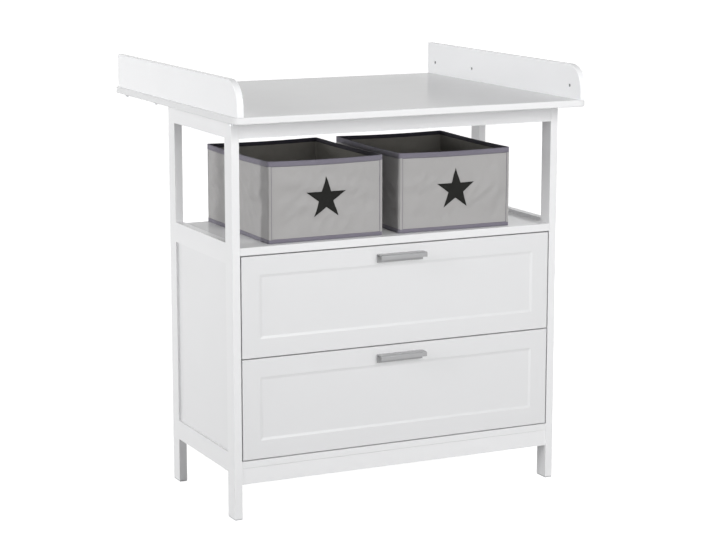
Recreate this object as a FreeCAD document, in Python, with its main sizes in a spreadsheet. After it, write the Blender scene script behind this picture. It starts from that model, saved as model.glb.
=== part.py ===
"""Changing dresser: a lacquered post frame with two drawers on roller runners, an open
compartment with two storage boxes, and a changing board with cheeks on top.

Millimetres. Z is up, X to the right and Y to the back as seen from the front. The origin lies on
the floor under the middle of the changing board, which is the widest and deepest piece.
Left pieces are drawn and right pieces mirror them.
"""
import FreeCAD, Part
import os
import re
import Sketcher

# Driving sizes: name, value, what it is.
SIZES = [
    ("frame_width", 836, "over both side frames"),
    ("frame_depth", 392, "over front and back posts"),
    ("frame_height", 916, "floor to the underside of the changing board"),
    ("post_thickness", 19, "post along X, and every side rail"),
    ("post_width", 40, "post along Y"),
    ("edge_round", 1.2, "eased edges of posts, fronts and boards"),
    ("glide_height", 3, "plastic glide under a post"),
    ("glide_inset", 0.6, "glide edge in from the post's faces"),
    ("top_rail_height", 42, "rails under the changing board"),
    ("cross_rail_thickness", 18, "front and back top rail"),
    ("rail_setback", 0.8, "front and back rail behind the post faces"),
    ("middle_rail_height", 47, "side rail beside the shelf"),
    ("bottom_rail_height", 46, "side rail beside the bottom board"),
    ("side_underside", 107, "floor to the underside of a side frame"),
    ("side_recess", 5, "side panel behind the side rails"),
    ("tongue_thickness", 6, "tongues and stub tenons of a side frame"),
    ("tongue_depth", 6, "tongue in its groove"),
    ("compartment_height", 245, "middle shelf to the rails under the changing board"),
    ("shelf_thickness", 18, "middle shelf"),
    ("side_lip", 8.5, "side frame above the shelf"),
    ("bottom_height", 120, "floor to the underside of the bottom board"),
    ("bottom_thickness", 16, "bottom board"),
    ("apron_height", 38, "apron below the bottom board"),
    ("apron_thickness", 16, "apron"),
    ("apron_setback", 2, "apron behind the post faces"),
    ("back_panel_thickness", 3, "back panel"),
    ("back_panel_inset", 8, "back panel in front of the back posts' rear faces"),
    ("back_groove_depth", 5, "back panel in the back posts"),
    ("tenon_length", 12, "tenon of a cross rail in its post"),
    ("tenon_thickness", 8, "tenon of a cross rail"),
    ("tenon_shoulder", 6, "rail above and below its tenon"),
    ("mortise_relief", 0.5, "mortise past the end of its tenon"),
    ("shelf_tongue_thickness", 6, "tongue at the ends of shelf and bottom board"),
    ("shelf_tongue_depth", 5, "that tongue in its side rail"),
    ("board_width", 890, "changing board"),
    ("board_depth", 770, "changing board"),
    ("board_thickness", 16, "changing board"),
    ("board_corner", 22, "front corners of the changing board in plan"),
    ("board_edge_round", 2.5, "upper and lower edges of the changing board"),
    ("front_overhang", 90, "changing board in front of the posts"),
    ("cheek_height", 80, "cheek above the changing board"),
    ("cheek_thickness", 16, "cheek"),
    ("cheek_ledge", 5, "board outside a cheek"),
    ("cheek_corner", 58, "front upper corner of a cheek"),
    ("cheek_edge_round", 1.8, "long edges of a cheek"),
    ("bolt_diameter", 6, "cheek bolt"),
    ("bolt_head_diameter", 12, "cheek bolt head"),
    ("bolt_head_height", 6, "cheek bolt head"),
    ("bolt_from_front", 50, "first cheek bolt from the board's front"),
    ("bolt_from_back", 41, "last cheek bolt from the board's back"),
    ("bolt_spacing", 200, "between the two back cheek bolts"),
    ("nut_diameter", 8, "barrel nut"),
    ("nut_length", 12, "barrel nut"),
    ("nut_rise", 30, "barrel nut above the changing board"),
    ("nut_inset", 0.8, "barrel nut behind the cheek's inner face"),
    ("fit_clearance", 0.05, "hole wall to bolt or nut"),
    ("drawer_gap", 2.7, "gap around a drawer front"),
    ("front_thickness", 18, "drawer front"),
    ("field_margin", 48, "drawer front's edge to the routed field"),
    ("field_bevel", 8.5, "sloping edge of the field"),
    ("field_depth", 4, "routed field"),
    ("runner_space", 12.5, "side frame to drawer side"),
    ("box_rise", 20, "drawer box above the front's lower edge"),
    ("drawer_back_gap", 13, "drawer box to the back panel"),
    ("side_drop", 41.5, "drawer side's upper edge below the front's"),
    ("drawer_side_thickness", 12, "drawer side"),
    ("drawer_back_thickness", 12, "drawer back"),
    ("drawer_back_drop", 8, "drawer back below the sides' upper edges"),
    ("drawer_bottom_thickness", 3, "drawer bottom"),
    ("drawer_bottom_rise", 10, "drawer bottom above the sides' lower edges"),
    ("drawer_groove", 5, "drawer bottom in sides and front"),
    ("housing_depth", 4, "drawer side in the drawer front"),
    ("handle_length", 118, "bar handle"),
    ("handle_height", 20.5, "bar handle's plate on the front"),
    ("handle_reach", 25, "bar handle in front of the drawer front"),
    ("handle_lip", 11, "bar handle's grip"),
    ("handle_wall", 2, "bar handle"),
    ("handle_round", 3.5, "outer edge of the grip"),
    ("handle_drop", 18, "bar handle below the front's upper edge"),
    ("runner_sheet", 1.2, "runner steel"),
    ("runner_start", 2, "cabinet runner behind the drawer front"),
    ("runner_back_gap", 11, "cabinet runner to the back panel"),
    ("channel_flange", 9.2, "cabinet runner's flanges"),
    ("channel_height", 23.7, "cabinet runner"),
    ("track_rise", 1.8, "cabinet runner's underside above the drawer side's lower edge"),
    ("rail_flange_gap", 3, "side frame to the drawer rail's upper flange"),
    ("rail_foot", 11.5, "drawer rail under the drawer side"),
    ("roller_diameter", 18, "nylon wheel"),
    ("roller_width", 5.6, "nylon wheel"),
    ("roller_gap", 0.3, "wheel to its track"),
    ("roller_inset", 3.2, "side frame to wheel"),
    ("roller_from_end", 10, "wheel axis from its runner's end"),
    ("axle_diameter", 4.8, "wheel axle"),
    ("axle_clearance", 0.08, "axle to wheel bore, radial"),
    ("axle_end", 0.6, "axle past the face of its wheel"),
    ("box_width", 288, "storage box"),
    ("box_depth", 362, "storage box"),
    ("box_height", 187, "storage box"),
    ("box_wall", 3, "storage box wall and floor"),
    ("box_corner", 5, "storage box's upright corners"),
    ("box_lift", 0.3, "storage box above the shelf"),
    ("card_thickness", 2.5, "base card of a storage box"),
    ("card_clearance", 0.4, "base card to the box walls"),
    ("left_box_x", -321, "left box's front left corner"),
    ("left_box_from_front", 22, "left box behind the post faces"),
    ("left_box_turn", 0.4, "left box about its front left corner, degrees"),
    ("right_box_x", 10.5, "right box's front left corner"),
    ("right_box_from_front", 25, "right box behind the post faces"),
    ("right_box_turn", -1.1, "right box about its front left corner, degrees"),
]

# Places worked out from the driving sizes.
PLACES = [
    ("half_width", "frame_width / 2"),
    ("inner_half", "frame_width / 2 - post_thickness"),
    ("front_plane", "front_overhang - board_depth / 2"),
    ("back_plane", "front_plane + frame_depth"),
    ("front_post_back", "front_plane + post_width"),
    ("back_post_front", "back_plane - post_width"),
    ("frame_middle", "front_plane + frame_depth / 2"),
    ("rail_underside", "frame_height - top_rail_height"),
    ("shelf_height", "rail_underside - compartment_height"),
    ("side_top", "shelf_height + side_lip"),
    ("middle_rail_underside", "side_top - middle_rail_height"),
    ("bottom_rail_top", "side_underside + bottom_rail_height"),
    ("tongue_outer", "half_width - (post_thickness - tongue_thickness) / 2"),
    ("tongue_inner", "tongue_outer - tongue_thickness"),
    ("shelf_underside", "shelf_height - shelf_thickness"),
    ("shelf_middle", "shelf_height - shelf_thickness / 2"),
    ("bottom_top", "bottom_height + bottom_thickness"),
    ("bottom_middle", "bottom_height + bottom_thickness / 2"),
    ("apron_underside", "bottom_height - apron_height"),
    ("front_rail_middle", "front_plane + rail_setback + cross_rail_thickness / 2"),
    ("back_rail_middle", "back_plane - rail_setback - cross_rail_thickness / 2"),
    ("apron_middle", "front_plane + apron_setback + apron_thickness / 2"),
    ("back_panel_front", "back_plane - back_panel_inset - back_panel_thickness"),
    ("board_top", "frame_height + board_thickness"),
    ("cheek_outer", "board_width / 2 - cheek_ledge"),
    ("cheek_inner", "cheek_outer - cheek_thickness"),
    ("cheek_top", "board_top + cheek_height"),
    ("bolt_line", "cheek_outer - cheek_thickness / 2"),
    ("nut_height", "board_top + nut_rise"),
    ("bolt_front", "bolt_from_front - board_depth / 2"),
    ("bolt_back", "board_depth / 2 - bolt_from_back"),
    ("bolt_middle", "bolt_back - bolt_spacing"),
    ("front_height", "(shelf_underside - bottom_top - 3 * drawer_gap) / 2"),
    ("front_half", "inner_half - drawer_gap"),
    ("front_back", "front_plane + front_thickness"),
    ("side_outer", "inner_half - runner_space"),
    ("side_inner", "side_outer - drawer_side_thickness"),
    ("drawer_end", "back_panel_front - drawer_back_gap"),
    ("drawer_side_height", "front_height - box_rise - side_drop"),
    ("lower_low", "bottom_top + drawer_gap"),
    ("upper_low", "lower_low + front_height + drawer_gap"),
    ("track_start", "front_back + runner_start"),
    ("track_end", "back_panel_front - runner_back_gap"),
    ("front_axle", "track_start + roller_from_end"),
    ("rear_axle", "drawer_end - roller_from_end"),
    ("wheel_far", "inner_half - roller_inset"),
    ("wheel_near", "wheel_far - roller_width"),
    ("shelf_rest", "shelf_height + box_lift"),
]
LEVELS = ("lower", "upper")
for level in LEVELS:
    PLACES += [
        (f"{level}_high", f"{level}_low + front_height"),
        (f"{level}_box_low", f"{level}_low + box_rise"),
        (f"{level}_box_high", f"{level}_box_low + drawer_side_height"),
        (f"{level}_panel_low", f"{level}_box_low + drawer_bottom_rise"),
        (f"{level}_panel_high", f"{level}_panel_low + drawer_bottom_thickness"),
        (f"{level}_handle_top", f"{level}_high - handle_drop"),
        (f"{level}_handle_low", f"{level}_handle_top - handle_height"),
        (f"{level}_track", f"{level}_box_low + track_rise"),
        (f"{level}_axle", f"{level}_track + runner_sheet + roller_gap + roller_diameter / 2"),
        (f"{level}_rail_top", f"{level}_axle + roller_diameter / 2 + roller_gap + runner_sheet"),
    ]

AXES = {"X": FreeCAD.Vector(1, 0, 0), "Y": FreeCAD.Vector(0, 1, 0), "Z": FreeCAD.Vector(0, 0, 1)}
# Origin plane across each axis, and the sign of its normal along that axis.
PLANES = {"X": ("YZ_Plane", 1), "Y": ("XZ_Plane", -1), "Z": ("XY_Plane", 1)}

doc = FreeCAD.newDocument("changing_dresser")
sizes = doc.addObject("Spreadsheet::Sheet", "sizes")
places = doc.addObject("Spreadsheet::Sheet", "places")
NAMES = {}
PIECES = []
SHAPERS = []


def in_sheets(formula):
    """Put the sheet's name before each size or place in a formula."""
    return re.sub(r"[a-z_]+", lambda word: NAMES.get(word.group(), word.group()), str(formula))


def fill_sheets():
    """Write the driving sizes as numbers and the places as formulas."""
    for row, (name, value, meaning) in enumerate(SIZES, 1):
        sizes.set(f"A{row}", name)
        sizes.set(f"B{row}", str(value))
        sizes.set(f"C{row}", meaning)
        sizes.setAlias(f"B{row}", name)
        NAMES[name] = f"sizes.{name}"
    for row, (name, formula) in enumerate(PLACES, 1):
        places.set(f"A{row}", name)
        places.set(f"B{row}", "=" + in_sheets(formula))
        places.setAlias(f"B{row}", name)
        NAMES[name] = f"places.{name}"
    doc.recompute()


def value(name):
    """The number that a size or place has now."""
    sheet = sizes if NAMES[name].startswith("sizes.") else places
    return float(sheet.get(name))


def tie(thing, prop, formula):
    """Bind a property to a formula of sizes and places."""
    thing.setExpression(prop, in_sheets(formula))


def piece(label):
    """A new body that is written to its own file."""
    body = doc.addObject("PartDesign::Body", label)
    body.Label = label
    body.AllowCompound = True
    PIECES.append(body)
    return body


def blank_sketch(body, name, axis, level):
    """A sketch across an axis, on the body's own origin plane lifted to a level."""
    role, sign = PLANES[axis]
    sketch = body.newObject("Sketcher::SketchObject", name)
    plane = [feature for feature in body.Origin.OriginFeatures if feature.Role == role][0]
    sketch.AttachmentSupport = (plane, [""])
    sketch.MapMode = "FlatFace"
    tie(sketch, "AttachmentOffset.Base.z", level if sign > 0 else f"-({level})")
    return sketch


def pin_point(sketch, geometry, point, across, up):
    """Hold a sketch point at a signed distance from the origin both ways."""
    for kind, formula in (("DistanceX", across), ("DistanceY", up)):
        number = sketch.addConstraint(Sketcher.Constraint(kind, -1, 1, geometry, point, 1.0))
        tie(sketch, f"Constraints[{number}]", formula)


def polygon(corners):
    """Closed outline through corners given as pairs of formulas."""
    def draw(sketch):
        count = len(corners)
        for index in range(count):
            start = FreeCAD.Vector(index + 1, index * index + 1, 0)
            after = (index + 1) % count
            end = FreeCAD.Vector(after + 1, after * after + 1, 0)
            sketch.addGeometry(Part.LineSegment(start, end), False)
        for index in range(count):
            sketch.addConstraint(
                Sketcher.Constraint("Coincident", index, 2, (index + 1) % count, 1))
        for index, (across, up) in enumerate(corners):
            pin_point(sketch, index, 1, across, up)
    return draw


def rectangle(across, up):
    """Outline between a low and a high formula each way."""
    (left, right), (low, high) = across, up
    return polygon([(left, low), (right, low), (right, high), (left, high)])


def discs(centres, diameter):
    """Equal circles at centres given as pairs of formulas."""
    def draw(sketch):
        for index, (across, up) in enumerate(centres):
            middle = FreeCAD.Vector(3 * index, 2, 0)
            sketch.addGeometry(Part.Circle(middle, AXES["Z"], 1), False)
            pin_point(sketch, index, 3, across, up)
            if index:
                sketch.addConstraint(Sketcher.Constraint("Equal", 0, index))
        number = sketch.addConstraint(Sketcher.Constraint("Diameter", 0, 1.0))
        tie(sketch, f"Constraints[{number}]", diameter)
    return draw


def add(body, name, draw, axis, span):
    """Pad an outline along an axis, over a span from its low to its high formula."""
    low, high = span
    start = low if PLANES[axis][1] > 0 else high
    sketch = blank_sketch(body, f"{body.Label}_{name}_sketch", axis, start)
    draw(sketch)
    pad = body.newObject("PartDesign::Pad", f"{body.Label}_{name}")
    pad.Profile = sketch
    tie(pad, "Length", f"({high}) - ({low})")
    return pad


def cut(body, name, draw, axis, span):
    """Pocket an outline along an axis, over a span from its low to its high formula."""
    low, high = span
    start = high if PLANES[axis][1] > 0 else low
    sketch = blank_sketch(body, f"{body.Label}_{name}_sketch", axis, start)
    draw(sketch)
    pocket = body.newObject("PartDesign::Pocket", f"{body.Label}_{name}")
    pocket.Profile = sketch
    tie(pocket, "Length", f"({high}) - ({low})")
    SHAPERS.append(pocket)
    return pocket


def block(body, name, across, deep, up):
    """Pad a box given by its X, Y and Z spans."""
    return add(body, name, rectangle(across, deep), "Z", up)


def trench(body, name, across, deep, up):
    """Pocket a box given by its X, Y and Z spans."""
    return cut(body, name, rectangle(across, deep), "Z", up)


def edges_where(body, test):
    """Names of the edges of the body's last feature that pass a test."""
    doc.recompute()
    return [f"Edge{number}" for number, edge in enumerate(body.Tip.Shape.Edges, 1) if test(edge)]


def edges_along(body, axis, wanted=lambda middle: True):
    """Names of the body's straight edges along an axis whose middle passes a test."""
    def test(edge):
        straight = edge.Curve.TypeId == "Part::GeomLine"
        along = straight and abs(edge.Curve.Direction.dot(AXES[axis])) > 0.999
        return along and wanted(edge.CenterOfMass)
    return edges_where(body, test)


def ease(body, name, edges, radius="edge_round"):
    """Round the named edges of the body's last feature."""
    before = body.Tip
    fillet = body.newObject("PartDesign::Fillet", f"{body.Label}_{name}")
    fillet.Base = (before, edges)
    tie(fillet, "Radius", radius)
    body.Tip = fillet
    SHAPERS.append(fillet)
    return fillet


def repeat_right(body, features):
    """Mirror features of a body that spans both sides to its right side."""
    mirrored = body.newObject("PartDesign::Mirrored", f"{body.Label}_both_sides")
    plane = [item for item in body.Origin.OriginFeatures if item.Role == "YZ_Plane"][0]
    mirrored.Originals = features
    mirrored.MirrorPlane = (plane, [""])
    body.Tip = mirrored
    return mirrored


def mirror_piece(body, label):
    """The right-hand twin of a left piece."""
    twin = doc.addObject("Part::Mirroring", label)
    twin.Label = label
    twin.Source = body
    twin.Normal = AXES["X"]
    twin.Base = FreeCAD.Vector(0, 0, 0)
    PIECES.append(twin)
    return twin


def from_frame(start, end):
    """X span on the left side, from one distance to another inward of the side frame."""
    return (f"-inner_half + ({start})", f"-inner_half + ({end})")


BOLT_ROWS = ("bolt_front", "bolt_middle", "bolt_back")
GLIDE_SPANS = [("-half_width", "-inner_half"), ("inner_half", "half_width")]
POST_SPANS = [("front_plane", "front_post_back"), ("back_post_front", "back_plane")]
# Cross rails: the middle in Y, then the Z span.
RAILS = {
    "front_top_rail": ("front_rail_middle", ("rail_underside", "frame_height")),
    "back_top_rail": ("back_rail_middle", ("rail_underside", "frame_height")),
    "front_apron": ("apron_middle", ("apron_underside", "bottom_height")),
}


def tenon_spans(rail):
    """Y and Z spans of the tenons of a cross rail."""
    middle, (low, high) = RAILS[rail]
    return ((f"{middle} - tenon_thickness / 2", f"{middle} + tenon_thickness / 2"),
            (f"{low} + tenon_shoulder", f"{high} - tenon_shoulder"))


def post(label, depth_span, rails):
    """Left post with its grooves for the side frame and its mortises."""
    body = piece(label)
    front = depth_span == POST_SPANS[0]
    block(body, "stick", ("-half_width", "-inner_half"), depth_span, ("glide_height", "frame_height"))
    face = value("front_plane") if front else value("back_plane")
    ease(body, "eased", edges_along(body, "Z", lambda middle: abs(middle.y - face) < 1e-6))
    if front:
        groove = ("front_post_back - tongue_depth", "front_post_back")
    else:
        groove = ("back_post_front", "back_post_front + tongue_depth")
    tongue = ("-tongue_outer", "-tongue_inner")
    trench(body, "side_groove", tongue, groove, ("side_underside", "side_top"))
    trench(body, "top_groove", tongue, groove, ("rail_underside", "frame_height"))
    for rail in rails:
        trench(body, f"{rail}_mortise", from_frame("-tenon_length - mortise_relief", "0"),
               *tenon_spans(rail))
    if not front:
        trench(body, "back_panel_groove", from_frame("-back_groove_depth", "0"),
               ("back_panel_front", "back_panel_front + back_panel_thickness"),
               ("bottom_height", "shelf_height"))
    return body


def side_rail(label, up, groove_up=None, shelf_middle=None):
    """Left side rail with stub tenons in the posts and grooves for side panel and shelf."""
    body = piece(label)
    tongue = ("-tongue_outer", "-tongue_inner")
    stub = ("front_post_back - tongue_depth", "back_post_front + tongue_depth")
    length = ("front_post_back", "back_post_front")
    block(body, "stick", ("-half_width", "-inner_half"), length, up)
    block(body, "stubs", tongue, stub, up)
    if groove_up:
        trench(body, "panel_groove", tongue, stub, groove_up)
    if shelf_middle:
        trench(body, "shelf_groove", from_frame("-shelf_tongue_depth", "0"), length,
               tongue_up(shelf_middle))
    return body


def tongue_up(middle):
    """Z span of the tongue on a board whose middle is given."""
    return (f"{middle} - shelf_tongue_thickness / 2", f"{middle} + shelf_tongue_thickness / 2")


def side_panel(label):
    """Left side panel: recessed outside, flush inside, with a tongue all round."""
    body = piece(label)
    block(body, "field", ("-half_width + side_recess", "-inner_half"),
          ("front_post_back", "back_post_front"), ("bottom_rail_top", "middle_rail_underside"))
    block(body, "tongue", ("-tongue_outer", "-tongue_inner"),
          ("front_post_back - tongue_depth", "back_post_front + tongue_depth"),
          ("bottom_rail_top - tongue_depth", "middle_rail_underside + tongue_depth"))
    return body


def cross_rail(label, thickness):
    """Rail from side frame to side frame, with a tenon at each end."""
    body = piece(label)
    middle, up = RAILS[label]
    deep = (f"{middle} - {thickness} / 2", f"{middle} + {thickness} / 2")
    block(body, "stick", ("-inner_half", "inner_half"), deep, up)
    block(body, "tenons", ("-inner_half - tenon_length", "inner_half + tenon_length"),
          *tenon_spans(label))
    return body


def shelf_board(label, low, thickness, middle):
    """Board between the side frames, with a tongue in each side rail."""
    body = piece(label)
    block(body, "panel", ("-inner_half", "inner_half"), ("front_plane", "back_panel_front"),
          (low, f"{low} + {thickness}"))
    front = value("front_plane")
    ease(body, "eased", edges_along(body, "X", lambda middle: abs(middle.y - front) < 1e-6))
    block(body, "tongues", ("-inner_half - shelf_tongue_depth", "inner_half + shelf_tongue_depth"),
          ("front_post_back", "back_post_front"), tongue_up(middle))
    return body


def changing_board():
    """Changing board with rounded front corners and the cheek bolt holes."""
    body = piece("changing_board")
    half_deep = "board_depth / 2"
    block(body, "panel", ("-board_width / 2", "board_width / 2"), (f"-{half_deep}", half_deep),
          ("frame_height", "board_top"))
    ease(body, "corners", edges_along(body, "Z", lambda middle: middle.y < 0), "board_corner")
    faces = (value("board_top"), value("frame_height"))
    rims = edges_where(body, lambda edge: edge.BoundBox.ZLength < 1e-6
                       and min(abs(edge.CenterOfMass.z - face) for face in faces) < 1e-6)
    ease(body, "rims", rims, "board_edge_round")
    bolts = cut(body, "bolt_holes",
                discs([("-bolt_line", row) for row in BOLT_ROWS],
                      "bolt_diameter + 2 * fit_clearance"),
                "Z", ("frame_height", "board_top"))
    repeat_right(body, [bolts])
    return body


def left_cheek():
    """Cheek with a large round at the front upper corner and cross holes for its nuts."""
    body = piece("left_cheek")
    half_deep = "board_depth / 2"
    block(body, "panel", ("-cheek_outer", "-cheek_inner"),
          (f"-{half_deep}", half_deep), ("board_top", "cheek_top"))
    top = value("cheek_top")
    ease(body, "corner", edges_along(
        body, "X", lambda middle: middle.y < 0 and abs(middle.z - top) < 1e-6), "cheek_corner")
    faces = (-value("cheek_outer"), -value("cheek_inner"))
    foot, back = value("board_top") + 1, value("board_depth") / 2 - 1
    rims = edges_where(body, lambda edge: foot < edge.CenterOfMass.z and edge.CenterOfMass.y < back
                       and min(abs(edge.CenterOfMass.x - face) for face in faces) < 1e-6)
    ease(body, "rims", rims, "cheek_edge_round")
    rows = [("-bolt_line", row) for row in BOLT_ROWS]
    cut(body, "bolt_holes", discs(rows, "bolt_diameter + 2 * fit_clearance"), "Z",
        ("board_top", "nut_height"))
    nuts = [(row, "nut_height") for row in BOLT_ROWS]
    cut(body, "nut_holes", discs(nuts, "nut_diameter + 2 * fit_clearance"), "X",
        ("-cheek_inner - nut_inset - nut_length", "-cheek_inner"))
    return body


def cheek_bolts():
    """Bolts from below the changing board, each in one piece with its barrel nut."""
    body = piece("cheek_bolts")
    points = [("-bolt_line", row) for row in BOLT_ROWS]
    heads = add(body, "heads", discs(points, "bolt_head_diameter"), "Z",
                ("frame_height - bolt_head_height", "frame_height"))
    shanks = add(body, "shanks", discs(points, "bolt_diameter"), "Z",
                 ("frame_height", "nut_height"))
    nuts = add(body, "nuts", discs([(row, "nut_height") for row in BOLT_ROWS], "nut_diameter"),
               "X", ("-cheek_inner - nut_inset - nut_length", "-cheek_inner - nut_inset"))
    repeat_right(body, [heads, shanks, nuts])
    return body


def foot_glides():
    """Plastic glides under the four posts."""
    body = piece("foot_glides")
    for side, (left, right) in enumerate(GLIDE_SPANS):
        for end, (low, high) in enumerate(POST_SPANS):
            block(body, f"pad_{side}_{end}", (f"{left} + glide_inset", f"{right} - glide_inset"),
                  (f"{low} + glide_inset", f"{high} - glide_inset"), ("0", "glide_height"))
    return body


def back_panel():
    """Thin back panel in the grooves of the back posts."""
    body = piece("back_panel")
    block(body, "sheet", ("-inner_half - back_groove_depth", "inner_half + back_groove_depth"),
          ("back_panel_front", "back_panel_front + back_panel_thickness"),
          ("bottom_height", "shelf_height"))
    return body


def axle(body, row, level, span):
    """Axle of a wheel, standing on its runner's web."""
    add(body, "axle", discs([(row, f"{level}_axle")], "axle_diameter"), "X", span)


def cabinet_runner(level):
    """Left channel of a drawer, with the axle of its front wheel."""
    body = piece(f"{level}_left_cabinet_runner")
    wall, web = from_frame("0", "runner_sheet")
    rim = "-inner_half + channel_flange"
    low, high = f"{level}_track", f"{level}_track + channel_height"
    floor, roof = f"{low} + runner_sheet", f"{high} - runner_sheet"
    outline = [(wall, low), (rim, low), (rim, floor), (web, floor),
               (web, roof), (rim, roof), (rim, high), (wall, high)]
    add(body, "channel", polygon(outline), "Y", ("track_start", "track_end"))
    axle(body, "front_axle", level, (wall, "-wheel_near + axle_end"))
    mirror_piece(body, f"{level}_right_cabinet_runner")
    return body


def drawer_rail(level):
    """Left Z rail under a drawer side, with the axle of its rear wheel."""
    body = piece(f"{level}_drawer_left_rail")
    toe = "-side_outer + rail_foot"
    outer = "-side_outer"
    web = "-side_outer - runner_sheet"
    lip = "-inner_half + rail_flange_gap"
    side_low, top = f"{level}_box_low", f"{level}_rail_top"
    foot, under = f"{side_low} - runner_sheet", f"{top} - runner_sheet"
    outline = [(toe, foot), (toe, side_low), (outer, side_low), (outer, top),
               (lip, top), (lip, under), (web, under), (web, foot)]
    add(body, "profile", polygon(outline), "Y", ("front_back", "drawer_end"))
    axle(body, "rear_axle", level, ("-wheel_far - axle_end", "-side_outer"))
    mirror_piece(body, f"{level}_drawer_right_rail")
    return body


def wheels(label, row, level):
    """A pair of nylon wheels on one axis, left and right."""
    body = piece(label)
    centre = [(row, f"{level}_axle")]
    span = ("-wheel_far", "-wheel_near")
    wheel = add(body, "wheel", discs(centre, "roller_diameter"), "X", span)
    bore = cut(body, "bore", discs(centre, "axle_diameter + 2 * axle_clearance"), "X", span)
    repeat_right(body, [wheel, bore])
    return body


def routed_field(body, level):
    """Sunk field with a sloping edge in the face of a drawer front."""
    def frame_at(inset):
        return rectangle((f"-front_half + {inset}", f"front_half - ({inset})"),
                         (f"{level}_low + {inset}", f"{level}_high - ({inset})"))
    mouth = blank_sketch(body, f"{body.Label}_field_mouth", "Y", "front_plane")
    frame_at("field_margin")(mouth)
    floor = blank_sketch(body, f"{body.Label}_field_floor", "Y", "front_plane + field_depth")
    frame_at("field_margin + field_bevel")(floor)
    field = body.newObject("PartDesign::SubtractiveLoft", f"{body.Label}_field")
    field.Profile = mouth
    field.Sections = [floor]
    field.Ruled = True
    SHAPERS.append(field)
    return field


def drawer_front(level):
    """Inset drawer front with its routed field, housings for the sides and handle holes."""
    body = piece(f"{level}_drawer_front")
    block(body, "panel", ("-front_half", "front_half"), ("front_plane", "front_back"),
          (f"{level}_low", f"{level}_high"))
    face = value("front_plane")
    rims = [name for axis in "XZ"
            for name in edges_along(body, axis, lambda middle: abs(middle.y - face) < 1e-6)]
    ease(body, "eased", rims)
    routed_field(body, level)
    trench(body, "bottom_groove", ("-side_inner - drawer_groove", "side_inner + drawer_groove"),
           ("front_back - housing_depth", "front_back"), (f"{level}_panel_low", f"{level}_panel_high"))
    housing = trench(body, "side_housing", ("-side_outer", "-side_inner"),
                     ("front_back - housing_depth", "front_back"),
                     (f"{level}_box_low", f"{level}_box_high"))
    repeat_right(body, [housing])
    return body


def drawer_side(level):
    """Left drawer side with the groove for the bottom."""
    body = piece(f"{level}_drawer_left_side")
    length = ("front_back - housing_depth", "drawer_end")
    block(body, "panel", ("-side_outer", "-side_inner"), length,
          (f"{level}_box_low", f"{level}_box_high"))
    top = value(f"{level}_box_high")
    ease(body, "eased", edges_along(body, "Y", lambda middle: abs(middle.z - top) < 1e-6))
    trench(body, "bottom_groove", ("-side_inner - drawer_groove", "-side_inner"), length,
           (f"{level}_panel_low", f"{level}_panel_high"))
    mirror_piece(body, f"{level}_drawer_right_side")
    return body


def drawer_back(level):
    """Drawer back, standing on the bottom between the sides."""
    body = piece(f"{level}_drawer_back")
    block(body, "panel", ("-side_inner", "side_inner"),
          ("drawer_end - drawer_back_thickness", "drawer_end"),
          (f"{level}_panel_high", f"{level}_box_high - drawer_back_drop"))
    return body


def drawer_bottom(level):
    """Thin drawer bottom in the grooves of sides and front."""
    body = piece(f"{level}_drawer_bottom")
    block(body, "sheet", ("-side_inner - drawer_groove", "side_inner + drawer_groove"),
          ("front_back - housing_depth", "drawer_end"),
          (f"{level}_panel_low", f"{level}_panel_high"))
    return body


def handle(level):
    """Bar handle of a hooked profile: plate on the front, top web and a grip in front."""
    body = piece(f"{level}_handle")
    top, low = f"{level}_handle_top", f"{level}_handle_low"
    under = f"{top} - handle_wall"
    plate = "front_plane - handle_wall"
    grip = "front_plane - handle_reach"
    outline = [("front_plane", low), ("front_plane", top), (grip, top), (grip, f"{top} - handle_lip"),
               (f"{grip} + handle_wall", f"{top} - handle_lip"), (f"{grip} + handle_wall", under),
               (plate, under), (plate, low)]
    add(body, "profile", polygon(outline), "X", ("-handle_length / 2", "handle_length / 2"))
    reach, crest = value("front_plane") - value("handle_reach"), value(top)
    ease(body, "grip_round", edges_along(
        body, "X", lambda middle: abs(middle.y - reach) + abs(middle.z - crest) < 1e-6),
        "handle_round")
    ease(body, "grip_inside", edges_along(
        body, "X", lambda middle: abs(middle.y - reach - value("handle_wall"))
        + abs(middle.z - crest + value("handle_wall")) < 1e-6), "handle_round - handle_wall")
    return body


def drawer(level):
    """All pieces of one drawer, its runners and its wheels."""
    drawer_front(level)
    drawer_side(level)
    drawer_back(level)
    drawer_bottom(level)
    handle(level)
    drawer_rail(level)
    cabinet_runner(level)
    wheels(f"{level}_front_wheels", "front_axle", level)
    wheels(f"{level}_rear_wheels", "rear_axle", level)


def set_down(body, side):
    """Stand a storage box's piece on the shelf at its own corner and turn."""
    body.Placement.Rotation = FreeCAD.Rotation(AXES["Z"], 1)
    tie(body, "Placement.Base.x", f"{side}_box_x")
    tie(body, "Placement.Base.y", f"front_plane + {side}_box_from_front")
    tie(body, "Placement.Base.z", "shelf_rest")
    tie(body, "Placement.Rotation.Angle", f"{side}_box_turn")


def storage_box(side):
    """Open fabric box with stiff walls, and the card on its floor."""
    shell = piece(f"{side}_box_shell")
    block(shell, "outside", ("0", "box_width"), ("0", "box_depth"), ("0", "box_height"))
    ease(shell, "corners", edges_along(shell, "Z"), "box_corner")
    trench(shell, "inside", ("box_wall", "box_width - box_wall"),
           ("box_wall", "box_depth - box_wall"), ("box_wall", "box_height"))
    set_down(shell, side)
    card = piece(f"{side}_box_card")
    gap = "(box_wall + card_clearance)"
    block(card, "sheet", (gap, f"box_width - {gap}"), (gap, f"box_depth - {gap}"),
          ("box_wall", "box_wall + card_thickness"))
    set_down(card, side)


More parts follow.
